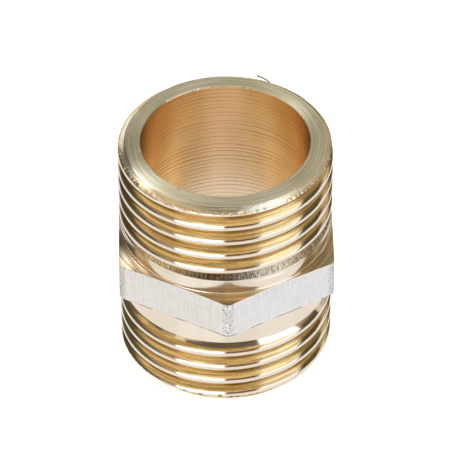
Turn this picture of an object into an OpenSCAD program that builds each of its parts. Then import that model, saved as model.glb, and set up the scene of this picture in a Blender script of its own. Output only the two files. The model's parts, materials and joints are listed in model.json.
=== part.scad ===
// Straight hex nipple: a short brass tube, a parallel pipe thread on each end, a spanner hexagon between.
// It is turned from one length of hexagon bar. Its three named regions meet face to face on one axis:
// +Z runs up that axis from the lower end face, and a corner of the hexagon points to -Y.

/* [Pipe thread] */
// Major diameter over the thread crests: 20.955 is the parallel pipe thread of nominal size 1/2
thread_d = 20.955; // [20.4:0.005:30]
// Length of the upper threaded end, from the hexagon to its end face
upper_end_len = 10.5; // [7:0.1:20]
// Length of the lower threaded end, from the hexagon to its end face
lower_end_len = 10.8; // [7:0.1:20]
// How far in from the crests the upper end's chamfer reaches on its end face
upper_chamfer_w = 0.7; // [0.2:0.05:1.5]
// How far the upper chamfer reaches along the end
upper_chamfer_h = 0.4; // [0.2:0.05:1.5]
// How far in from the crests the lower end's chamfer reaches on its end face
lower_chamfer_w = 1.25; // [0.2:0.05:1.5]
// How far the lower chamfer reaches along the end
lower_chamfer_h = 1.4; // [0.2:0.05:1.5]

/* [Neck and relief groove] */
// How far the plain neck beside the hexagon lies below the thread crests
neck_drop = 0.13; // [0.05:0.01:0.6]
// Length of the upper neck
upper_neck_len = 1.5; // [0.5:0.1:3]
// Length of the lower neck
lower_neck_len = 2.3; // [0.5:0.1:3]
// Depth below the thread crests of the relief groove where the thread runs out
relief_depth = 1.2; // [0.8:0.05:1.5]
// Width of the relief groove
relief_w = 0.8; // [0.5:0.1:1.5]
// Corner radius at the floor of the relief groove
relief_r = 0.2; // [0.05:0.05:0.2]

/* [Hexagon] */
// How far each flat stands out past the thread crests: 0.0225 makes the hexagon 21 across its flats
flat_stand = 0.0225; // [0.0025:0.0025:3]
// Height of the hexagon
hex_h = 4.3; // [3:0.1:12]
// Radius that rounds each upright corner
hex_corner_r = 1; // [0.3:0.1:2]
// Angle by which the turned upper face falls away towards the corners
hex_fall = 6; // [0:1:20]

/* [Bore] */
// Wall left between the floor of the relief groove and the bore: 1.0275 makes the bore 16.5 across
bore_wall = 1.0275; // [0.5:0.0025:4]

/* [Hidden] */
$fn = 96;
// How far a cutting shape reaches past the surface that it cuts
past = 1;
thread_r = thread_d / 2;
neck_r = thread_r - neck_drop;
relief_floor_r = thread_r - relief_depth;
bore_r = relief_floor_r - bore_wall;
hex_z = lower_end_len;
upper_z = hex_z + hex_h;
// Distances from the axis to a flat, to a sharp corner and to the centre of a corner's rounding
flat_r = thread_r + flat_stand;
sharp_corner_r = flat_r / cos(30);
corner_centre_r = (flat_r - hex_corner_r) / cos(30);

// Outline of one end, from its foot on the hexagon (height 0) to its end face, as radius and height.
module end_outline(end_len, neck_len, chamfer_w, chamfer_h) {
    polygon([
        [bore_r, 0],
        [neck_r, 0],
        [neck_r, neck_len],
        [thread_r, neck_len],
        [thread_r, end_len - chamfer_h],
        [thread_r - chamfer_w, end_len],
        [bore_r, end_len],
    ]);
}

// Section of the relief groove's cutter: a slot with rounded floor corners, open past the crests.
module relief_section() {
    slot_depth = relief_depth + past;
    translate([relief_floor_r, relief_r]) square([slot_depth, relief_w - 2 * relief_r]);
    translate([relief_floor_r + relief_r, 0]) square([slot_depth - relief_r, relief_w]);
    for (h = [relief_r, relief_w - relief_r])
        translate([relief_floor_r + relief_r, h]) circle(relief_r);
}

// One turned end with its foot on the plane z = 0. The full-diameter land stands for the thread's crests.
module turned_end(end_len, neck_len, chamfer_w, chamfer_h) {
    rotate_extrude()
        difference() {
            end_outline(end_len, neck_len, chamfer_w, chamfer_h);
            translate([0, neck_len]) relief_section();
        }
}

// Hexagon with rounded corners, one of them towards -Y: a twelve-sided outline with a circle at each corner.
module hex_outline() {
    half_flat = flat_r * tan(30) - hex_corner_r * tan(30);
    polygon([
        for (turn = [0:60:300], end = [-1, 1])
            [flat_r * cos(turn) - end * half_flat * sin(turn),
             flat_r * sin(turn) + end * half_flat * cos(turn)]
    ]);
    for (turn = [30:60:330])
        rotate(turn) translate([corner_centre_r, 0]) circle(hex_corner_r);
}

// Everything below the turned upper face: level under the neck, then falling away outwards.
module under_turned_face() {
    reach = sharp_corner_r + past;
    rotate_extrude()
        polygon([
            [0, -past],
            [reach, -past],
            [reach, hex_h - (reach - neck_r) * tan(hex_fall)],
            [neck_r, hex_h],
            [0, hex_h],
        ]);
}

module upper_threaded_end() {
    color("goldenrod")
        translate([0, 0, upper_z])
            turned_end(upper_end_len, upper_neck_len, upper_chamfer_w, upper_chamfer_h);
}

module hex_collar() {
    color("gainsboro")
        translate([0, 0, hex_z])
            difference() {
                intersection() {
                    linear_extrude(hex_h) hex_outline();
                    under_turned_face();
                }
                translate([0, 0, -past]) cylinder(h = hex_h + 2 * past, r = bore_r);
            }
}

module lower_threaded_end() {
    color("goldenrod")
        translate([0, 0, hex_z])
            mirror([0, 0, 1])
                turned_end(lower_end_len, lower_neck_len, lower_chamfer_w, lower_chamfer_h);
}

upper_threaded_end();
hex_collar();
lower_threaded_end();
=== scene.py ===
# %% [markdown]
# # A brass hex nipple, turned from one bar
# A hex nipple joins two pieces of pipe. It is a short tube with a thread on each end and a hexagon
# between them for the spanner. A lathe makes all of it from one length of hexagon bar, so the
# hexagon's flats still carry the pale skin of the drawn bar, and everything else is bright brass.
#
# The solids hold the sizes. This lesson adds what a solid leaves out: the thread that winds round
# each end, the tool's rings, torn edges, a curl of swarf, and the finish of each surface.

# %% Load the solids
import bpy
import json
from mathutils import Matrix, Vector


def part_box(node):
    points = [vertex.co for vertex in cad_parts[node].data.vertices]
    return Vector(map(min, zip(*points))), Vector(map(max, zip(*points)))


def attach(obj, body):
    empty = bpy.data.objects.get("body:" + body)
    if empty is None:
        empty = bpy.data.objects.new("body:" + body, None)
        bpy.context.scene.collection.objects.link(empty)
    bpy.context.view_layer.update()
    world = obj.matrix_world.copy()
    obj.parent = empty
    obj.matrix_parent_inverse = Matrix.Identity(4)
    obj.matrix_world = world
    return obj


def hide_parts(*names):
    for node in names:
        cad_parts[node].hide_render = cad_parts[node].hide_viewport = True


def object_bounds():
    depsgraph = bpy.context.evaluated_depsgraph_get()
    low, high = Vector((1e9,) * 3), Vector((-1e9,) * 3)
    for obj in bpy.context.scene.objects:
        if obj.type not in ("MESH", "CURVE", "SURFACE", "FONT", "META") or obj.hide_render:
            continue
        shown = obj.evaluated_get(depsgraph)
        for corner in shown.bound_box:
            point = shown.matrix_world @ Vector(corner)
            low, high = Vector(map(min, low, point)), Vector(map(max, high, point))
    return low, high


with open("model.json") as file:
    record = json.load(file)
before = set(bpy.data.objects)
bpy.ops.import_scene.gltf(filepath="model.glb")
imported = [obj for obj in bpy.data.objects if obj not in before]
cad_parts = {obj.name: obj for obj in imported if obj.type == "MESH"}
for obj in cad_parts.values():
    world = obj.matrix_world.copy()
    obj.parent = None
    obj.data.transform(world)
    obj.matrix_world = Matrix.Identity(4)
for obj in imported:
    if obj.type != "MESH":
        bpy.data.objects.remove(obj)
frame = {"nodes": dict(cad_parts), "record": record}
solid_low, solid_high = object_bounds()
print("solids:", sorted(frame["nodes"]))

# %% [markdown]
# ## Sizes
# The solids give the main sizes: how tall the hexagon is, where each end stops, how wide it is over
# the crests. The thread is the parallel pipe thread of nominal size 1/2, which has 14 turns to the
# inch.
#
# All lengths are in metres, so a millimetre gets a name of its own.

# %% Sizes of the piece
import bpy
import bmesh
import numpy as np
from mathutils import Matrix, Vector

MM = 0.001
INCH = 25.4 * MM
FULL_TURN = 2 * np.pi
TURNS_IN_AN_INCH = 14
upper_low, upper_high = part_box("upper_threaded_end")
lower_low, lower_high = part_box("lower_threaded_end")
bore_mount = next(m for m in frame["record"]["mounts"] if m["name"] == "bore")
bore_r = bore_mount["dims"]["r_mm"] * MM
crest_r = upper_high.x
hexagon_bottom = lower_high.z
hexagon_top = upper_low.z
flat_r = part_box("hex_collar")[1].x
pitch = INCH / TURNS_IN_AN_INCH
print("over the crests:", round(2 * crest_r / MM, 3), "mm, pitch", round(pitch / MM, 3), "mm")

# %% [markdown]
# ## The camera
# The piece is small, and it is seen from well above through a long lens, so its circles look like
# clean ellipses with almost no perspective. One corner of the hexagon points to the camera.
#
# The camera stands on a line from the middle of the piece, given by an angle round it and an angle
# above the table. It looks at a point a little higher than that middle.

# %% Place the camera
camera_turn = np.radians(-1.08)
camera_rise = np.radians(41.49)
camera_roll = np.radians(-0.2)
camera_distance = 458.13 * MM
middle = Vector((0, 0, (solid_low.z + solid_high.z) / 2))
aim = middle + Vector((-0.05 * MM, 0, 1.93 * MM))
toward_camera = Vector((
    np.sin(camera_turn) * np.cos(camera_rise),
    -np.cos(camera_turn) * np.cos(camera_rise),
    np.sin(camera_rise),
))
camera_data = bpy.data.cameras.new("camera")
camera_data.lens = 371.3
camera_data.sensor_width = 36
camera_data.clip_start = 0.01
camera_data.clip_end = 10
camera = bpy.data.objects.new("camera", camera_data)
camera.location = middle + toward_camera * camera_distance
looking = (aim - camera.location).to_track_quat("-Z", "Y")
camera.rotation_euler = (looking.to_matrix() @ Matrix.Rotation(camera_roll, 3, "Z")).to_euler()
bpy.context.scene.collection.objects.link(camera)
bpy.context.scene.camera = camera
print("camera at", [round(v / MM, 1) for v in camera.location], "mm")

# %% [markdown]
# ## Nodes without the clutter
# A material is a tree of nodes. One small helper adds a node, sets what is given as a number and
# wires what is given as another node's output, so a tree reads like a list of steps. Three more
# helpers stand on it: one calculates, one fades from value to value, one blends two colours.
#
# A Mix node has one set of sockets for each kind of value, so the colour ones go by their number.

# %% Helpers: add a node, calculate, fade, blend
FIRST_COLOUR, SECOND_COLOUR = 6, 7
BLENDED_COLOUR = 2


def put(tree, kind, *inputs, **settings):
    """Adds one shader node. Each input is a plain value to set, or an output to wire, or None."""
    made = tree.nodes.new("ShaderNode" + kind)
    for name, value in settings.items():
        setattr(made, name, value)
    for socket, value in zip(made.inputs, inputs):
        if isinstance(value, bpy.types.NodeSocket):
            tree.links.new(value, socket)
        elif value is not None:
            socket.default_value = value
    return made


def calc(tree, operation, *inputs):
    """Adds a Math node and gives its result."""
    return put(tree, "Math", *inputs, operation=operation).outputs[0]


def fade(tree, value, start, end, low=0.0, high=1.0):
    """Goes smoothly from low to high while value goes from start to end."""
    made = put(tree, "MapRange", value, start, end, low, high, interpolation_type="SMOOTHSTEP")
    return made.outputs[0]


def blend_colour(tree, share, start, end):
    """Goes from the colour start to the colour end as share goes from 0 to 1."""
    made = put(tree, "Mix", data_type="RGBA")
    tree.links.new(share, made.inputs["Factor"])
    for number, colour in ((FIRST_COLOUR, start), (SECOND_COLOUR, end)):
        if isinstance(colour, bpy.types.NodeSocket):
            tree.links.new(colour, made.inputs[number])
        else:
            made.inputs[number].default_value = (*colour, 1)
    return made.outputs[BLENDED_COLOUR]


print("node helpers:", ", ".join(f.__name__ for f in (put, calc, fade, blend_colour)))

# %% [markdown]
# ## The studio
# Polished metal shows little of its own: it shows what stands round it. Lamps would light it, but
# each would only be a bright spot. So the light is drawn into the world by direction, the way a
# stage is built: a pale room with golden and brown walls, white panels that make the bright
# streaks, and black cards and bars that draw the dark lines along the threads.
#
# A direction has a turn round the piece, 0 at the camera and growing to the right, and a rise above
# the table. Each thing in the studio is a window in those two angles with soft edges, laid over
# what is there.

# %% Helpers: directions in the studio, and windows
IN_DEGREES = 180 / np.pi
world = bpy.data.worlds.new("studio")
bpy.context.scene.world = world
world.use_nodes = True
sky = world.node_tree
sky.nodes.clear()
toward = put(sky, "SeparateXYZ", put(sky, "TexCoord").outputs["Generated"])
away = calc(sky, "MULTIPLY", toward.outputs["Y"], -1.0)
sky_turn = calc(sky, "MULTIPLY", calc(sky, "ARCTAN2", toward.outputs["X"], away), IN_DEGREES)
sky_rise = calc(sky, "MULTIPLY", calc(sky, "ARCSINE", toward.outputs["Z"]), IN_DEGREES)


def between(value, low, high, soft):
    """1 where value lies between low and high, with soft edges, and 0 elsewhere."""
    above = fade(sky, value, low - soft, low + soft)
    below = fade(sky, value, high - soft, high + soft, 1.0, 0.0)
    return calc(sky, "MULTIPLY", above, below)


def lay(light, colour, turns, rises, soft, lean):
    """Lays a window of that colour over the light. lean slopes its top and bottom edges: they drop
    by that many degrees for each degree of turn away from the window's first side."""
    sloped = calc(sky, "MULTIPLY_ADD", calc(sky, "SUBTRACT", sky_turn, turns[0]), lean, sky_rise)
    mask = calc(sky, "MULTIPLY", between(sky_turn, *turns, soft), between(sloped, *rises, soft))
    return blend_colour(sky, mask, light, colour)


print("studio: directions in degrees, and windows to lay over them")

# %% [markdown]
# ## What stands in the studio
# A steep wall of the piece reflects what is low in front of it, a leaning flank reflects what is
# higher up, and the level end face reflects what stands behind the piece. So each streak on the
# brass can be placed by itself, by a window in the direction that it reflects.
#
# Each colour is the light that comes from there. Above 1 it shines more than white paper does.

# %% Colours of the studio
LIGHT = {
    "room": (0.80, 0.78, 0.75),
    "dark ceiling": (0.13, 0.11, 0.08),
    "table": (0.91, 0.90, 0.87),
    "brown wall": (0.44, 0.40, 0.31),
    "lighter brown wall": (0.51, 0.46, 0.35),
    "tan wall": (0.58, 0.54, 0.42),
    "golden wall": (0.85, 0.73, 0.52),
    "deep golden wall": (0.84, 0.70, 0.50),
    "lit golden wall": (1.10, 0.93, 0.66),
    "brown shade": (0.38, 0.31, 0.20),
    "soft panel": (1.10, 1.08, 1.02),
    "white panel": (2.2, 2.3, 2.6),
    "cool panel": (1.28, 1.38, 1.60),
    "foot of the cool panel": (1.18, 1.20, 1.25),
    "strip lamp": (3.2, 3.25, 3.25),
    "white lamp": (2.5, 2.5, 2.5),
    "golden strip": (0.70, 0.55, 0.32),
    "brown strip": (0.44, 0.34, 0.19),
    "brown card": (0.16, 0.10, 0.04),
    "black card": (0.105, 0.098, 0.085),
    "right black card": (0.08, 0.075, 0.06),
    "rear dark card": (0.14, 0.12, 0.09),
    "rear low card": (0.16, 0.15, 0.13),
    "rear black bar": (0.10, 0.085, 0.065),
    "front black bar": (0.05, 0.03, 0.018),
}
print("studio:", len(LIGHT), "colours")

# %% [markdown]
# ## Where the windows are
# Each row says what stands there, its first and last turn, its lowest and highest rise, how soft
# its edges are, and its lean, all in degrees. The order matters: a window covers what was laid
# before it. Walls come first, and the panels, cards and bars in front of them follow.

# %% Windows of the studio
WINDOWS = [
    ("brown wall", (-181, -172), (5, 62), 5, 0.0),
    ("brown wall", (-172, -138), (5, 52), 5, 0.0),
    ("lighter brown wall", (112, 181), (5, 62), 5, 0.0),
    ("golden wall", (-60, 0), (5, 70), 3, 0.0),
    ("lit golden wall", (-3, 33), (-60, 69), 3, 0.0),
    ("soft panel", (-168, -138), (-8, 27), 3, 0.0),
    ("tan wall", (-172, -140), (52, 76), 3, 0.0),
    ("strip lamp", (-174, -138), (46, 52.5), 1.5, 0.0),
    ("rear black bar", (-176, -138), (28, 45.5), 2, 0.0),
    ("deep golden wall", (-140, -60), (0, 72), 3, 0.0),
    ("white lamp", (-141, -110), (43, 55), 2, 0.0),
    ("black card", (-138, -111), (-60, 43), 2, 0.0),
    ("black card", (-135, -54), (-60, 42), 5, 0.75),
    ("front black bar", (-36, 50), (31, 46), 1, 0.0),
    ("front black bar", (-49, -34), (31, 43.5), 1, 0.0),
    ("brown shade", (-70, -48), (-60, 4), 5, 0.0),
    ("white panel", (-52, -24), (-60, -15), 2, -1.25),
    ("white panel", (-25, -4), (-60, 8), 1, 0.8),
    ("brown card", (-2, 32), (-60, -5), 1, 0.0),
    ("cool panel", (33, 76), (-60, 70), 1, 0.0),
    ("foot of the cool panel", (33, 76), (-60, -4), 8, 0.0),
    ("white panel", (60, 106), (52, 74), 2, 0.0),
    ("golden strip", (76, 107), (40, 56), 2, 0.0),
    ("brown strip", (76, 107), (-60, 43), 1, 0.0),
    ("right black card", (76, 107), (-60, 20), 1, 0.1),
    ("rear dark card", (122, 140), (-60, 18), 3, 0.0),
    ("rear low card", (142, 172), (-60, 4), 3, 0.0),
]
print("studio:", len(WINDOWS), "windows")

# %% [markdown]
# ## Light from every direction
# The room and its ceiling come first, then the windows one by one. Last comes the table, which
# fills every steep look downwards. The camera itself doesn't see the studio: it sees plain white
# behind the piece.

# %% Light the studio
ceiling_edge = (68, 75)
table_edge = (-37, -33)
light = blend_colour(sky, fade(sky, sky_rise, *ceiling_edge), LIGHT["room"], LIGHT["dark ceiling"])
for what, turns, rises, soft, lean in WINDOWS:
    light = lay(light, LIGHT[what], turns, rises, soft, lean)
light = blend_colour(sky, fade(sky, sky_rise, *table_edge, 1.0, 0.0), light, LIGHT["table"])
room = put(sky, "Background", light)
backdrop = put(sky, "Background", (1, 1, 1, 1))
camera_ray = put(sky, "LightPath").outputs["Is Camera Ray"]
seen = put(sky, "MixShader", camera_ray, room.outputs[0], backdrop.outputs[0])
put(sky, "OutputWorld", seen.outputs[0])
print("studio lit:", len(sky.nodes), "nodes")

# %% [markdown]
# ## The table
# The piece stands on a round white table. It scatters the light that falls on it, and a little
# light of its own keeps it white, while the piece's shadow still darkens it.
#
# The brass doesn't reflect this disc, which only the camera sees. It reflects the table of the
# studio, whose brightness is set by itself.

# %% Make the table
TABLE_RADIUS = 3.0
TABLE_SIDES = 96
TABLE_WHITE = (0.82, 0.85, 0.90, 1)
TABLE_GLOW = 0.68


def disc_mesh(name, radius, sides):
    """A flat disc at height 0: corners at equal angles on a circle, as one face."""
    angle = np.linspace(0, FULL_TURN, sides, endpoint=False)
    corners = np.stack([radius * np.cos(angle), radius * np.sin(angle), 0 * angle], axis=1)
    mesh = bpy.data.meshes.new(name)
    mesh.from_pydata(corners.tolist(), [], [list(range(sides))])
    return mesh


white_table = bpy.data.materials.new("white_table")
white_table.use_nodes = True
tree = white_table.node_tree
tree.nodes.clear()
paper = put(tree, "BsdfDiffuse", TABLE_WHITE)
glow = put(tree, "Emission", (1, 1, 1, 1), TABLE_GLOW)
lit_paper = put(tree, "AddShader", paper.outputs[0], glow.outputs[0])
open_air = put(tree, "BsdfTransparent")
from_camera = put(tree, "LightPath").outputs["Is Camera Ray"]
surface = put(tree, "MixShader", from_camera, open_air.outputs[0], lit_paper.outputs[0])
put(tree, "OutputMaterial", surface.outputs[0])
table = bpy.data.objects.new("table", disc_mesh("table", TABLE_RADIUS, TABLE_SIDES))
table.data.materials.append(white_table)
bpy.context.scene.collection.objects.link(table)
print("table:", len(table.data.polygons), "face,", 2 * TABLE_RADIUS, "m across")

# %% [markdown]
# ## Rings left by the lathe
# Every turned surface carries the fine rings of the tool. They could be modelled, but they are at
# most a few hundredths of a millimetre deep, so they are noise in the material. A ring keeps its
# distance from the axis and its height, so a noise that changes quickly with those two and slowly
# with the angle gives rings on a tube, on a face and on a cone alike.
#
# The angle goes in as a point on a small circle, which closes on itself without a seam.

# %% Helpers: where a point lies on the lathe, and noise in rings
from collections import namedtuple

Place = namedtuple("Place", ["radius", "height", "direction"])


def lathe_place(tree):
    """Radius, height and unit direction round the axis of each point, from Object coordinates."""
    place = put(tree, "SeparateXYZ", put(tree, "TexCoord").outputs["Object"])
    flat = put(tree, "CombineXYZ", place.outputs["X"], place.outputs["Y"], 0.0)
    radius = put(tree, "VectorMath", flat.outputs[0], operation="LENGTH").outputs["Value"]
    direction = put(tree, "VectorMath", flat.outputs[0], operation="NORMALIZE").outputs[0]
    return Place(radius, place.outputs["Z"], direction)


def ring_noise(tree, out, up, drift, detail=2.0, rough=0.5):
    """Noise from 0 to 1 that changes out times in a millimetre of radius, up times in a millimetre
    of height and drift times in a radian. It is 4D noise of (drift * direction, up * height,
    out * radius)."""
    place = lathe_place(tree)
    circle = put(tree, "SeparateXYZ", place.direction)
    point = put(
        tree, "CombineXYZ",
        calc(tree, "MULTIPLY", circle.outputs["X"], drift),
        calc(tree, "MULTIPLY", circle.outputs["Y"], drift),
        calc(tree, "MULTIPLY", place.height, up / MM),
    )
    made = put(tree, "TexNoise", noise_dimensions="4D")
    tree.links.new(point.outputs[0], made.inputs["Vector"])
    tree.links.new(calc(tree, "MULTIPLY", place.radius, out / MM), made.inputs["W"])
    made.inputs["Scale"].default_value = 1.0
    made.inputs["Detail"].default_value = detail
    made.inputs["Roughness"].default_value = rough
    return made.outputs[0]


print("lathe helpers:", lathe_place.__name__, "and", ring_noise.__name__)

# %% [markdown]
# ## Metal with a grain
# All the finishes are the same metal shader with other marks in it. Rings also steer what a turned
# surface reflects: they spread it across themselves and keep it sharp along themselves, as the
# grooves of a record do. The shader does that when it is told which way the grain runs.

# %% Helpers: a metal, its relief and its grain
GRAIN_ALONG_TANGENT = 0.25


def metal(name, roughness, colour=(0.8, 0.8, 0.8)):
    """A metal with that roughness, as a tree that a finish can add to."""
    material = bpy.data.materials.new(name)
    material.use_nodes = True
    tree = material.node_tree
    surface = tree.nodes["Principled BSDF"].inputs
    surface["Base Color"].default_value = (*colour, 1)
    surface["Metallic"].default_value = 1.0
    surface["Roughness"].default_value = roughness
    return material, tree, surface


def bump(tree, height, depth, before=None):
    """Tilts the surface as if height, from 0 to 1, were that depth of real relief."""
    made = put(tree, "Bump")
    made.inputs["Strength"].default_value = 1.0
    made.inputs["Distance"].default_value = depth
    tree.links.new(height, made.inputs["Height"])
    if before is not None:
        tree.links.new(before, made.inputs["Normal"])
    return made.outputs[0]


def turn_grain(tree, surface, strength):
    """Runs the grain round the axis, along the cross product of the axis and the direction."""
    direction = lathe_place(tree).direction
    along = put(tree, "VectorMath", (0, 0, 1), direction, operation="CROSS_PRODUCT")
    tree.links.new(along.outputs[0], surface["Tangent"])
    surface["Anisotropic"].default_value = strength
    surface["Anisotropic Rotation"].default_value = GRAIN_ALONG_TANGENT


print("metal helpers:", ", ".join(f.__name__ for f in (metal, bump, turn_grain)))

# %% [markdown]
# ## The thread's brass
# The thread is cut with a sharp die and stays bright. Its crests are painted a paler brass, a
# painted highlight for their bright reflections, which turn whitish. The upper flanks are yellow,
# where the die's teeth left fine lines along the thread.
# Those lines spread each reflection up and down but not sideways. The undersides are painted a
# darker brass as painted shade.
#
# Lines that fine would need millions of faces, so they are noise in the material. They follow the
# distance from the axis, and so they climb with the thread by themselves.

# %% Finish: thread
# Painted highlight: crests and necks get a paler brass, as if their bright reflections whitened.
HIGHLIGHT_PALE_BRASS = (0.91, 0.80, 0.68)
YELLOW_BRASS = (0.84, 0.63, 0.31)
SCORED_BRASS = (0.53, 0.37, 0.15)
SHADED_BRASS = (0.60, 0.45, 0.25)
crest_end = crest_r - 0.01 * MM
flank_start = crest_r - 0.08 * MM
thread_brass, tree, surface = metal("thread_brass", roughness=0.3)
cut = fade(tree, lathe_place(tree).radius, flank_start, crest_end, 1.0, 0.0)
facing_up = put(tree, "SeparateXYZ", put(tree, "NewGeometry").outputs["Normal"]).outputs["Z"]
upper_flank = calc(tree, "MULTIPLY", cut, fade(tree, facing_up, -0.2, 0.2))
scores = ring_noise(tree, out=7, up=0.5, drift=1.5, detail=4, rough=0.65)
flank = blend_colour(tree, fade(tree, scores, 0.46, 0.56), YELLOW_BRASS, SCORED_BRASS)
bright = blend_colour(tree, upper_flank, HIGHLIGHT_PALE_BRASS, flank)
# Painted shade: faces that turn downwards are painted a darker brass.
underside = fade(tree, facing_up, -0.45, -0.10, 1.0, 0.0)
tree.links.new(blend_colour(tree, underside, bright, SHADED_BRASS), surface["Base Color"])
tree.links.new(fade(tree, cut, 0.0, 1.0, low=0.08, high=0.22), surface["Roughness"])
turn_grain(tree, surface, strength=1.0)
teeth_marks = ring_noise(tree, out=7, up=0.5, drift=3.0, detail=4, rough=0.65)
tree.links.new(bump(tree, teeth_marks, depth=0.022 * MM), surface["Normal"])
print("finish:", thread_brass.name)

# %% [markdown]
# ## The plain turned brass
# The necks on both sides of the hexagon are turned with a fine feed, and they are nearly mirrors.
# The hexagon's upper face is turned too, but the tool met six corners in each turn and knocked, so
# that face shows arcs of lighter and darker brass.

# %% Finish: necks and the turned face of the hexagon
LIGHT_ARC = (0.66, 0.57, 0.42)
DARK_ARC = (0.44, 0.34, 0.20)
# Painted highlight: the necks' pale brass stands in for their bright reflections whitening.
neck_brass, tree, surface = metal("neck_brass", roughness=0.13, colour=HIGHLIGHT_PALE_BRASS)
turn_grain(tree, surface, strength=0.8)
ring_bump = bump(tree, ring_noise(tree, out=3, up=3, drift=1.0), depth=0.003 * MM)
tree.links.new(ring_bump, surface["Normal"])

collar_brass, tree, surface = metal("collar_brass", roughness=0.15)
turn_grain(tree, surface, strength=0.9)
arcs = ring_noise(tree, out=7, up=7, drift=1.0, detail=3)
tone = fade(tree, arcs, 0.42, 0.6)
tree.links.new(blend_colour(tree, tone, LIGHT_ARC, DARK_ARC), surface["Base Color"])
tree.links.new(bump(tree, arcs, depth=0.012 * MM), surface["Normal"])
print("finishes:", neck_brass.name, "and", collar_brass.name)

# %% [markdown]
# ## Faced brass
# The end faces and the upper chamfer are cut by a tool that moves across the turning bar. Its rings
# are deeper and the surface is duller, with lighter and darker rings side by side. The chamfer is
# the rougher of the two, because its cut runs through the crests and the roots of the thread.

# %% Finish: end faces and chamfer
FACE_SHADE = (0.61, 0.57, 0.42)
FACE_PALE = (0.88, 0.84, 0.69)
CHAMFER_SHADE = (0.61, 0.54, 0.38)
CHAMFER_PALE = (0.90, 0.84, 0.68)
faced_brass, tree, surface = metal("faced_brass", roughness=0.3)
rings = ring_noise(tree, out=5, up=5, drift=1.4, detail=5, rough=0.7)
shade = fade(tree, rings, 0.38, 0.62)
tree.links.new(blend_colour(tree, shade, FACE_SHADE, FACE_PALE), surface["Base Color"])
turn_grain(tree, surface, strength=0.9)
tree.links.new(bump(tree, rings, depth=0.016 * MM), surface["Normal"])

chamfer_brass, tree, surface = metal("chamfer_brass", roughness=0.2)
rings = ring_noise(tree, out=6, up=6, drift=3.5, detail=5, rough=0.7)
shade = fade(tree, rings, 0.35, 0.65)
tree.links.new(blend_colour(tree, shade, CHAMFER_SHADE, CHAMFER_PALE), surface["Base Color"])
turn_grain(tree, surface, strength=0.8)
tree.links.new(bump(tree, rings, depth=0.03 * MM), surface["Normal"])
print("finishes:", faced_brass.name, "and", chamfer_brass.name)

# %% [markdown]
# ## The reamed bore
# The bore was drilled and reamed. The reamer moved on a little with each turn and left a ring at
# each step. The rings are a wave along the height, bent by noise so that no two look alike, and
# they are strongest near the upper mouth.
#
# The light that falls in bounces between the walls until it is coppery. That bounced light is
# painted into the wall's own colour as a painted reflection, pinker in the middle and yellower
# towards both sides.

# %% Finish: bore
# Painted reflection: the wall's colour is the bounced light, yellower to the left and right.
PAINTED_BOUNCE_LEFT = (0.88, 0.665, 0.39)
PAINTED_BOUNCE_MIDDLE = (0.87, 0.69, 0.50)
PAINTED_BOUNCE_RIGHT = (0.84, 0.62, 0.35)
RING_LINE = (0.66, 0.44, 0.24)
SPECK = (0.42, 0.28, 0.16)
feed = 0.5 * MM
bend = 1.6
line_place = 0.5
line_half_width = 0.2
weak_below = 11 * MM
strong_above = 18 * MM
fine_relief = 0.004 * MM
ring_relief = -0.008 * MM
reamed_bore, tree, surface = metal("reamed_bore", roughness=0.22)
place = lathe_place(tree)
wobble = calc(tree, "MULTIPLY", ring_noise(tree, out=0, up=0.9, drift=0.6, detail=1), bend)
step = calc(tree, "FRACT", calc(tree, "ADD", calc(tree, "DIVIDE", place.height, feed), wobble))
away_from_line = calc(tree, "ABSOLUTE", calc(tree, "SUBTRACT", step, line_place))
line = fade(tree, away_from_line, 0.0, line_half_width, 1.0, 0.0)
patches = ring_noise(tree, out=0, up=0.5, drift=0.5, detail=2)
weight = fade(tree, patches, 0.35, 0.6, low=0.25, high=1.0)
near_mouth = fade(tree, place.height, weak_below, strong_above, low=0.45, high=1.0)
marked = calc(tree, "MULTIPLY", calc(tree, "MULTIPLY", line, weight), near_mouth)
fine = bump(tree, ring_noise(tree, out=0, up=5, drift=0.6, detail=1), fine_relief)
tree.links.new(bump(tree, marked, ring_relief, fine), surface["Normal"])
aside = put(tree, "SeparateXYZ", place.direction).outputs["X"]
painted_bounce_light = blend_colour(tree, fade(tree, aside, -0.8, -0.45), PAINTED_BOUNCE_LEFT, PAINTED_BOUNCE_MIDDLE)
painted_bounce_light = blend_colour(tree, fade(tree, aside, 0.45, 0.8), painted_bounce_light, PAINTED_BOUNCE_RIGHT)
ringed = blend_colour(tree, marked, painted_bounce_light, RING_LINE)
specks = fade(tree, ring_noise(tree, out=0, up=3, drift=30, detail=2), 0.74, 0.78)
tree.links.new(blend_colour(tree, specks, ringed, SPECK), surface["Base Color"])
print("finish:", reamed_bore.name, "with a ring each", feed / MM, "mm")

# %% [markdown]
# ## The chattered groove
# In the relief groove the tool chattered, and it left short upright strokes, some dark and some
# bright. They are noise of a point on a cylinder that has been squashed to almost no height, so
# each patch of the noise becomes a stroke from bottom to top.

# %% Finish: relief groove
DARK_STROKE = (0.36, 0.27, 0.16)
BRIGHT_STROKE = (0.98, 0.88, 0.68)
height_share = 0.02 / MM
stroke_stretch = (150, 150, 150)


def stretched_noise(tree, vector, stretch, detail=4.0):
    """3D noise of a vector times a stretch, one number for each axis."""
    scaled = put(tree, "VectorMath", vector, stretch, operation="MULTIPLY")
    made = put(tree, "TexNoise", noise_dimensions="3D")
    tree.links.new(scaled.outputs[0], made.inputs["Vector"])
    made.inputs["Scale"].default_value = 1.0
    made.inputs["Detail"].default_value = detail
    return made.outputs[0]


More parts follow.
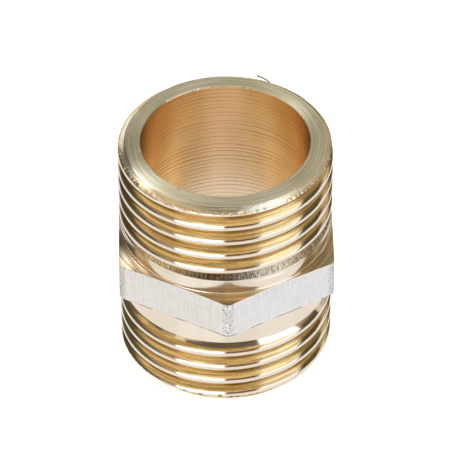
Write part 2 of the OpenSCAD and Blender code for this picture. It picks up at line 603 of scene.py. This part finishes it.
chattered_brass, tree, surface = metal("chattered_brass", roughness=0.14)
place = lathe_place(tree)
raised = put(tree, "CombineXYZ", 0.0, 0.0, calc(tree, "MULTIPLY", place.height, height_share))
spot = put(tree, "VectorMath", place.direction, raised.outputs[0], operation="ADD").outputs[0]
strokes = stretched_noise(tree, spot, stroke_stretch)
streak = fade(tree, strokes, 0.42, 0.68)
tree.links.new(blend_colour(tree, streak, DARK_STROKE, BRIGHT_STROKE), surface["Base Color"])
tree.links.new(bump(tree, strokes, depth=0.025 * MM), surface["Normal"])
print("finish:", chattered_brass.name)

# %% [markdown]
# ## The drawn skin
# The hexagon's flats were never cut. They keep the satin, silver-white skin of the drawn bar, with
# faint upright lines from the drawing die, faint level ones from handling, and small dark pits.
# The pits crowd on the rounded corners, which stand out and wear first, and a broken dark line
# runs along the lower edge.

# %% Finish: flats of the hexagon
SKIN_SHADE = (0.73, 0.727, 0.715)
SKIN_PALE = (0.88, 0.875, 0.862)
PIT_AND_EDGE_LINE = (0.30, 0.29, 0.28)
upright_stretch = (9000, 9000, 500)
level_stretch = (700, 700, 9000)
pit_stretch = (11000, 11000, 6000)
patch_stretch = (700, 700, 700)
level_share = 0.45
upright_share = 0.55
more_pits_when_worn = 0.14
corner_starts = 11.78 * MM
corner_full = 11.84 * MM
edge_line_starts = hexagon_bottom + 0.07 * MM
edge_line_ends = hexagon_bottom + 0.20 * MM
drawn_skin, tree, surface = metal("drawn_skin", roughness=0.65)
surface["Metallic"].default_value = 0.2
spot = put(tree, "TexCoord").outputs["Object"]
upright = stretched_noise(tree, spot, upright_stretch)
level = stretched_noise(tree, spot, level_stretch)
weighed = calc(tree, "MULTIPLY", upright, upright_share)
lines = calc(tree, "MULTIPLY_ADD", level, level_share, weighed)
place = lathe_place(tree)
worn = fade(tree, place.radius, corner_starts, corner_full)
pits = stretched_noise(tree, spot, pit_stretch)
pitted = fade(tree, calc(tree, "MULTIPLY_ADD", worn, more_pits_when_worn, pits), 0.64, 0.76)
# A broken dark line is painted along the lower edge, where the hexagon meets the neck.
lower_edge = fade(tree, place.height, edge_line_starts, edge_line_ends, 1.0, 0.0)
broken = fade(tree, stretched_noise(tree, spot, patch_stretch), 0.42, 0.56)
marks = calc(tree, "MAXIMUM", pitted, calc(tree, "MULTIPLY", lower_edge, broken))
grain = blend_colour(tree, fade(tree, lines, 0.32, 0.62), SKIN_SHADE, SKIN_PALE)
tree.links.new(blend_colour(tree, marks, grain, PIT_AND_EDGE_LINE), surface["Base Color"])
tree.links.new(bump(tree, lines, depth=0.008 * MM), surface["Normal"])
print("finish:", drawn_skin.name)

# %% [markdown]
# ## The thread's profile
# Cut along the axis, a thread is a row of hills. Its two flanks are 55 degrees apart, so each one
# leans 27.5 degrees from straight out. The textbook hill has the same round top on both sides.
# This one has a narrow flat crest, a wide round shoulder above it and a narrow one below, which is
# what catches the light along each turn. Below each shoulder runs the straight flank.
#
# It could be drawn by hand, but a formula keeps the flanks at their true angle. It is one function:
# how far below the crest the metal lies at a distance above a crest's middle line. The two sides
# meet in the root, which is rounded by a soft minimum of both.

# %% Profile of the thread
FLANK_LEAN = np.radians(27.5)
steepest = np.pi / 2 - FLANK_LEAN
crest_half = 0.11 * MM
upper_shoulder_r = 0.85 * MM
lower_shoulder_r = 0.35 * MM
root_soft = 0.03 * MM


def side_depth(distance, shoulder_r):
    """Depth at a distance from the crest's middle: 0 on the flat, then a circle's arc until it is
    as steep as the flank, then the flank: arc depth + (distance - arc end) * tan(steepest)."""
    past_flat = np.maximum(distance - crest_half, 0)
    arc_end = shoulder_r * np.sin(steepest)
    on_arc = np.minimum(past_flat, arc_end)
    arc = shoulder_r - np.sqrt(shoulder_r ** 2 - on_arc ** 2)
    return arc + np.maximum(past_flat - arc_end, 0) * np.tan(steepest)


def depth_below_crest(offset):
    """Depth at an offset above a crest: the soft minimum of the side that falls from this crest and
    the side that rises to the next one, -k log(exp(-a / k) + exp(-b / k))."""
    above = offset % pitch
    falling = side_depth(above, upper_shoulder_r)
    rising = side_depth(pitch - above, lower_shoulder_r)
    return -root_soft * np.log(np.exp(-falling / root_soft) + np.exp(-rising / root_soft))


across_a_pitch = np.linspace(0, pitch, num=400)
print("thread depth", round(depth_below_crest(across_a_pitch).max() / MM, 3), "mm")

# %% [markdown]
# ## Where the rows of the thread lie
# A row of points follows each line of the profile. They stand close on the two shoulders, where
# the profile bends, and further apart on the straight flanks.

# %% Rows in one pitch
UPPER_SHOULDER_ROWS = 14
FLANK_ROWS = 10
LOWER_SHOULDER_ROWS = 8
upper_end_of_arc = crest_half + upper_shoulder_r * np.sin(steepest)
lower_end_of_arc = crest_half + lower_shoulder_r * np.sin(steepest)
upper_arc = np.linspace(0, steepest, UPPER_SHOULDER_ROWS)
lower_arc = np.linspace(steepest, 0, LOWER_SHOULDER_ROWS)
stations = np.concatenate([
    [0, crest_half / 2],
    crest_half + upper_shoulder_r * np.sin(upper_arc),
    np.linspace(upper_end_of_arc, pitch - lower_end_of_arc, FLANK_ROWS)[1:-1],
    pitch - crest_half - lower_shoulder_r * np.sin(lower_arc),
    [pitch - crest_half / 2],
])
print(len(stations), "rows in a pitch")

# %% [markdown]
# ## From a grid to a closed shell
# Each end, and the hexagon too, is a tube-like skin: rows of points run along the profile and
# columns run round the axis. Two arrays, radius and height, hold the whole skin. The last row meets
# the first on the wall of the bore, and the last column meets the first round the axis, so after
# the doubles are merged the skin is closed.
#
# Edges sharper than 30 degrees stay sharp, and the rest is shaded smooth.

# %% Helpers: skin a grid and close it
MERGE_DISTANCE = 0.0008 * MM
SHARP_EDGE = np.radians(30)


def closed_piece(name, points, quads, finish, finishes):
    """A smooth object from points and quads, its doubles merged and its faces turned outward."""
    mesh = bpy.data.meshes.new(name)
    mesh.from_pydata(points.reshape(-1, 3).tolist(), [], quads.tolist())
    for material in finishes:
        mesh.materials.append(material)
    mesh.polygons.foreach_set("material_index", finish.ravel().astype(np.int32))
    clean = bmesh.new()
    clean.from_mesh(mesh)
    bmesh.ops.remove_doubles(clean, verts=clean.verts, dist=MERGE_DISTANCE)
    bmesh.ops.recalc_face_normals(clean, faces=clean.faces)
    for face in clean.faces:
        face.smooth = True
    clean.to_mesh(mesh)
    clean.free()
    mesh.set_sharp_from_angle(angle=SHARP_EDGE)
    made = bpy.data.objects.new(name, mesh)
    bpy.context.scene.collection.objects.link(made)
    triangles = sum(len(p.vertices) - 2 for p in mesh.polygons)
    print(name, "has", triangles, "triangles")
    return made


def skin(name, angle, radius, height, finish, finishes):
    """A closed mesh from grids of radius and height (rows by columns) over the angles of the
    columns: x = radius cos(angle), y = radius sin(angle), z = height. finish numbers each face."""
    points = np.stack([radius * np.cos(angle), radius * np.sin(angle), height], axis=-1)
    index = np.arange(radius.size).reshape(radius.shape)
    here, along = index[:, :-1], index[:, 1:]
    next_here, next_along = np.roll(here, -1, axis=0), np.roll(along, -1, axis=0)
    quads = np.stack([here, along, next_along, next_here], axis=-1).reshape(-1, 4)
    return closed_piece(name, points, quads, finish, finishes)


print("edges stay sharp above", round(np.degrees(SHARP_EDGE)), "degrees")

# %% [markdown]
# ## The thread and its chamfer
# A screw modifier could wind the profile up, but its ends would hang in the air. So the thread is a
# grid like the rest. Its rows climb one pitch in each turn round the axis, so every row stays on
# its own line of the profile: a crest row is always crest. Where a row would leave the threaded
# part it waits at the limit, and those rows fold together when the doubles are merged. Spare
# pitches of rows at both ends fill the part all the way round.
#
# The chamfer cuts the thread wherever its cone is the smaller radius. Small tears make its outer
# edge ragged, and the lower end has one nick at the front.

# %% Helpers: a wandering line, the thread's rows, the chamfer's cut
COLUMNS = 384
front = -np.pi / 2
around = front + np.linspace(0, FULL_TURN, COLUMNS + 1)
part_of_turn = (around - front) / FULL_TURN
tear_waves = (30, 180)
tear_depth = 0.10 * MM
tears_end = crest_r - 0.15 * MM
nick_place = 0.008
nick_half_width = 0.011
spare_below = 2
spare_above = 1
wave_count = 24
usual_sum = 5


def wander(angle, waves, seed):
    """A wandering line round the axis, mostly between -1 and 1: a sum of sines of whole numbers of
    waves with random phases, so that it closes on itself."""
    chance = np.random.default_rng(seed)
    numbers = chance.integers(waves[0], waves[1], wave_count)
    phases = chance.uniform(0, FULL_TURN, wave_count)
    return np.sin(np.multiply.outer(angle, numbers) + phases).sum(axis=-1) / usual_sum


def thread_rows(low, high, crest_at_front):
    """Grids of height and radius. A row's height is crest at the front + offset + pitch * part of
    turn, kept between low and high. Its radius is the crests' less the depth of the profile."""
    first = int(np.floor((low - crest_at_front) / pitch)) - spare_below
    last = int(np.ceil((high - crest_at_front) / pitch)) + spare_above
    row_offset = np.concatenate([pitch * k + stations for k in range(first, last + 1)])[:, None]
    height = np.clip(crest_at_front + row_offset + pitch * part_of_turn, low, high)
    return height, crest_r - depth_below_crest(height - crest_at_front - pitch * part_of_turn)


def cut_chamfer(thread, cone, nick_depth, seed):
    """The smaller radius of thread and cone. Near the crests the cone is lowered by tears, and
    nearer the face by a nick, depth * exp(-(distance from its place / half width)^4)."""
    tears = np.maximum(wander(around, tear_waves, seed), 0) * tear_depth
    near_face = cone < tears_end
    radius = np.minimum(thread, np.where(near_face, cone, cone - tears))
    nick = np.exp(-((part_of_turn - nick_place) / nick_half_width) ** 4) * nick_depth
    return np.where(near_face, radius - nick, radius)


print("columns round an end:", COLUMNS)

# %% [markdown]
# ## A threaded end
# Coming out from the hexagon, an end has a low foot ring with a hollow beside it, a plain neck with
# a shallow step in it, a narrow relief groove where the threading tool ran out, the thread, a
# chamfer and the end face. Inside is the bore, whose mouth has a torn rim.
#
# Both ends are made by one function. Its distances count from the foot, so they serve the end above
# the hexagon and the end below it alike. Only the thread isn't turned over: it climbs the same way
# on both.

# %% Helper: the rings outside
END_FINISHES = [neck_brass, chattered_brass, thread_brass, faced_brass, reamed_bore, chamfer_brass]
NECK, GROOVE, THREAD, FACED, BORED, CHAMFER = range(6)
neck_r = crest_r - 0.13 * MM
foot_h = 0.05 * MM
foot_slope = 0.02 * MM
hollow_h = 3 * foot_h
neck_starts = 4 * foot_h
hollow_r = neck_r - 0.03 * MM
step_h = 0.02 * MM


def outside_rows(neck_length, step_at, relief):
    """Radius, distance from the foot and finish of each ring, from the bore to the groove's end."""
    rows = [
        (bore_r, 0, NECK),
        (crest_r, 0, NECK),
        (crest_r - foot_slope, foot_h, NECK),
        (hollow_r, foot_h, NECK),
        (hollow_r, hollow_h, NECK),
        (neck_r, neck_starts, NECK),
        (neck_r, step_at, NECK),
        (hollow_r, step_at + step_h, NECK),
        (hollow_r, neck_length, relief[0][2]),
    ]
    return rows + [(crest_r - deep, neck_length + on, kind) for deep, on, kind in relief]


print("finishes of an end:", len(END_FINISHES))
print("necks:", round(2 * neck_r / MM, 2), "mm across")

# %% [markdown]
# ## The end face and the bore
# From the chamfer the rings go across the end face, over the rim and down the bore. The outer edge
# of the face is broken a little, and the face has a finish of its own up to the rim. The bore is
# straight, so two rings would do, but more of them keep its quads from being long and thin.

# %% Helpers: the rings inside, and rings as grids
face_edge_w = 0.06 * MM
rim_w = 0.6 * MM
burr_w = 0.03 * MM
burr_h = 0.05 * MM
BORE_ROWS = 15
RIM_ROW = 2


def inside_rows(length, chamfer_w):
    """Radius, distance from the foot and finish of each ring, from the chamfer down the bore."""
    rows = [
        (crest_r - chamfer_w - face_edge_w, length, FACED),
        (bore_r + rim_w, length, FACED),
        (bore_r + burr_w, length, NECK),
    ]
    down = np.linspace(length - burr_h, 0, BORE_ROWS + 1)[:-1]
    return rows + [(bore_r, on, BORED) for on in down]


def level_rings(rows, foot, way):
    """Rings as grids of radius, height and finish: height = foot + way * distance."""
    flat = np.array(rows)[:, :, None] * np.ones(COLUMNS + 1)
    return flat[:, 0], foot + way * flat[:, 1], flat[:, 2]


print("rings down a bore:", BORE_ROWS)

# %% [markdown]
# ## From the foot to the bore
# An end is put together from three grids: the rings outside, the thread with its chamfer, and the
# rings inside. The reamer tore the rim of the bore here and there. Little burrs could be added as
# pieces, but the rim's ring does it as well: where the rim is torn, it moves outwards over the face.

# %% Helper: a threaded end
relief_w = 0.8 * MM
face_edge_h = 0.03 * MM
slack = 0.001 * MM
burr_waves = (60, 190)
burr_starts = 0.7
burr_reach = 0.13 * MM


def threaded_end(
    name, foot, face, neck_length, step_at, relief, chamfer, crest_at_front, nick_depth, seed
):
    """Rows from the foot on the hexagon to the end face, then back down the bore. The chamfer's cone
    is crest radius - chamfer width + distance from the face * chamfer width / chamfer height."""
    way = np.sign(face - foot)
    length = abs(face - foot)
    chamfer_w, chamfer_h = chamfer
    low, high = sorted([foot + way * (neck_length + relief_w), face - way * face_edge_h])
    height, thread = thread_rows(low, high, crest_at_front)
    cone = crest_r - chamfer_w + np.abs(face - height) * chamfer_w / chamfer_h
    radius = cut_chamfer(thread, cone, nick_depth, seed)
    finish = np.where(cone < thread, CHAMFER if way > 0 else THREAD, THREAD)
    finish[np.abs(face - height) < face_edge_h + slack] = NECK
    outward = slice(None, None, int(way))
    land = (radius[outward], height[outward], finish[outward])
    outside = level_rings(outside_rows(neck_length, step_at, relief), foot, way)
    radius_in, height_in, finish_in = level_rings(inside_rows(length, chamfer_w), foot, way)
    burr_seed = seed + 10
    torn = np.maximum(wander(around, burr_waves, burr_seed) - burr_starts, 0)
    radius_in[RIM_ROW] += torn * burr_reach
    finish_in[RIM_ROW] = np.where(torn > 0, NECK, BORED)
    parts = [outside, land, (radius_in, height_in, finish_in)]
    radius, height, finish = (np.concatenate([part[k] for part in parts]) for k in range(3))
    return skin(name, around, radius, height, finish[:, :-1], END_FINISHES)

# %% [markdown]
# ## Two ends
# The upper end has a small chamfer and a chattered groove that slants from the neck down to the
# thread. The lower end has a long chamfer and a smooth groove that drops steeply beside the neck
# and climbs slowly to the thread. Each groove is a short list of depth below the crests, distance
# past the neck, and finish.

# %% Build both ends
upper_relief = [(0.50 * MM, 0.38 * MM, GROOVE), (0.86 * MM, 0.78 * MM, GROOVE)]
lower_relief = [(0.73 * MM, 0.10 * MM, NECK), (0.73 * MM, 0.21 * MM, NECK)]
upper_neck = 1.5 * MM
lower_neck = 2.3 * MM
upper_step = 0.75 * upper_neck
lower_step = 0.9 * lower_neck
upper_end = threaded_end(
    "upper_thread", hexagon_top, upper_high.z, upper_neck, upper_step, upper_relief,
    chamfer=(0.7 * MM, 0.4 * MM), crest_at_front=17.92 * MM, nick_depth=0, seed=4,
)
lower_end = threaded_end(
    "lower_thread", hexagon_bottom, lower_low.z, lower_neck, lower_step, lower_relief,
    chamfer=(1.25 * MM, 1.4 * MM), crest_at_front=7.015 * MM, nick_depth=0.6 * MM, seed=5,
)
for piece, node in ((upper_end, "upper_threaded_end"), (lower_end, "lower_threaded_end")):
    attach(piece, "root")
    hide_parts(node)
    print(piece.name, "stands for", node)

# %% [markdown]
# ## A curl of swarf
# The facing tool left a hair of brass on the far edge of the upper end. It lies along the edge and
# ends in a small hook that turns back inward.
#
# A curve with a round bevel would do, but its ends would be blunt. So the hair is a mesh: a round
# bar of changing thickness, which closes where the thickness reaches zero. Its middle line is given
# in polar form: the radius and the angle both change along it.

# %% Build the curl
HOOK_STARTS = 0.75
start_mm = 10.15
drift_out_mm = 0.45
hook_in_mm = 2.0
start_degrees = 62.8
sweep_degrees = 9
hook_back_degrees = 11
sweep_bend = 1.5
hair_half = 0.075 * MM
hair_below_face = 0.08 * MM
hair_droop = 0.25 * MM


def curl_of_swarf(name, steps=48, sides=8):
    """A bar swept along a line t from 0 to 1: x = r(t) cos(a(t)), y = r(t) sin(a(t)). Each ring is
    a circle of radius half * sin(pi t)^0.5, set across the line."""
    t = np.linspace(0, 1, steps)
    before_hook = np.minimum(t / HOOK_STARTS, 1)
    in_hook = np.maximum(t - HOOK_STARTS, 0)
    swept = sweep_degrees * before_hook ** sweep_bend
    radius = (start_mm + drift_out_mm * before_hook - hook_in_mm * in_hook) * MM
    angle = np.radians(start_degrees + swept - hook_back_degrees * in_hook)
    line = np.stack([radius * np.cos(angle), radius * np.sin(angle)], axis=1)
    ahead = np.gradient(line, axis=0)
    ahead /= np.linalg.norm(ahead, axis=1, keepdims=True)
    sideways = np.stack([-ahead[:, 1], ahead[:, 0]], axis=1)
    half = hair_half * np.sqrt(np.sin(np.pi * t))[:, None]
    round_bar = np.linspace(0, FULL_TURN, sides, endpoint=False)
    flat = line[:, None, :] + sideways[:, None, :] * (half * np.cos(round_bar))[:, :, None]
    middle_height = upper_high.z - hair_below_face - hair_droop * (1 - t[:, None])
    height = middle_height + half * np.sin(round_bar)
    points = np.concatenate([flat, height[:, :, None]], axis=2)
    index = np.arange(steps * sides).reshape(steps, sides)
    beside = np.roll(index, -1, axis=1)
    quads = np.stack([index[:-1], beside[:-1], beside[1:], index[1:]], axis=-1).reshape(-1, 4)
    return closed_piece(name, points, quads, np.zeros(len(quads)), [chattered_brass])


swarf = curl_of_swarf("swarf_curl")
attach(swarf, "root")

# %% [markdown]
# ## The hexagon
# The hexagon is the bar as it was drawn: flats with the bar's own skin and well rounded upright
# corners. The tool only touched its upper face, which falls away a little towards the corners.
#
# A six-sided cylinder with bevelled corners would come close. A formula gives the same outline as
# a distance from the axis for each angle, and then the turned face can be a skin like the ends.
# Seen from the axis, a flat at distance f lies at f / cos(angle from the flat's middle), and a
# corner is a circle round its own centre.

# %% Outline of the hexagon
SIXTH = np.pi / 3
corner_r = 1.0 * MM
corner_centre = (flat_r - corner_r) / np.cos(SIXTH / 2)
flat_end = np.arctan2((flat_r - corner_r) * np.tan(SIXTH / 2), flat_r)


def hexagon_reach(angle):
    """Distance from the axis to the rounded hexagon: f / cos(a) on a flat. On a corner, the far
    crossing with its circle, c cos(b) + sqrt(r^2 - (c sin(b))^2), b being the angle from it."""
    from_flat = np.abs((angle + SIXTH / 2) % SIXTH - SIXTH / 2)
    from_corner = SIXTH / 2 - from_flat
    beside = corner_centre * np.sin(from_corner)
    half_chord = np.sqrt(np.maximum(corner_r ** 2 - beside ** 2, 0))
    corner = corner_centre * np.cos(from_corner) + half_chord
    return np.where(from_flat <= flat_end, flat_r / np.cos(from_flat), corner)


print("across the flats:", round(2 * flat_r / MM, 2), "mm, corners rounded by", corner_r / MM, "mm")

# %% [markdown]
# ## Skin of the hexagon
# The hexagon is a skin of the same kind: in rings over the upper face, down the flats, back under
# to the bore and up it again. A hair's breadth of bevel runs along its upper and lower edges.

# %% Build the hexagon
HEX_FINISHES = [drawn_skin, collar_brass, reamed_bore]
DRAWN, TURNED, BORE_WALL = range(3)
HEX_COLUMNS = 360
FACE_ROWS = 8
SIDE_ROWS = 5
fall = np.tan(np.radians(6))
ease = 0.03 * MM


def build_hexagon(name):
    """Rows from the bore over the upper face, down the flats, back under and up the bore. The upper
    face's height is the hexagon's top - (radius - neck radius) * tan of the fall."""
    angle = front + np.linspace(0, FULL_TURN, HEX_COLUMNS + 1)
    reach = hexagon_reach(angle)[None, :]
    level = np.ones_like(reach)
    out = np.linspace(0, 1, FACE_ROWS + 1)[1:, None]
    down = np.linspace(0, 1, SIDE_ROWS)[:, None]
    up = np.linspace(0, 1, FACE_ROWS + 1)[:-1, None]
    top_radius = neck_r + (reach - ease - neck_r) * out
    upper_edge = hexagon_top - (reach - neck_r) * fall - ease
    bore_height = hexagon_bottom + (hexagon_top - hexagon_bottom) * up * level
    rows = [
        (bore_r * level, hexagon_top * level, TURNED),
        (neck_r * level, hexagon_top * level, TURNED),
        (top_radius, hexagon_top - (top_radius - neck_r) * fall, TURNED),
        (reach + 0 * down, upper_edge + (hexagon_bottom + ease - upper_edge) * down, DRAWN),
        (reach - ease, hexagon_bottom * level, DRAWN),
        (neck_r * level, hexagon_bottom * level, BORE_WALL),
        (bore_r * level + 0 * up, bore_height, BORE_WALL),
    ]
    radii, heights, kinds = zip(*rows)
    finish = np.concatenate([np.full((len(r), HEX_COLUMNS), kind) for r, kind in zip(radii, kinds)])
    return skin(name, angle, np.concatenate(radii), np.concatenate(heights), finish, HEX_FINISHES)


hexagon = build_hexagon("hexagon")
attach(hexagon, "root")
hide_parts("hex_collar")

# %% [markdown]
# ## Colours as they are
# The colours are shown as they are, without a film look.

# %% Show the colours as they are
import json

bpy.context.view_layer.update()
scene = bpy.context.scene
scene.view_settings.view_transform = "Standard"
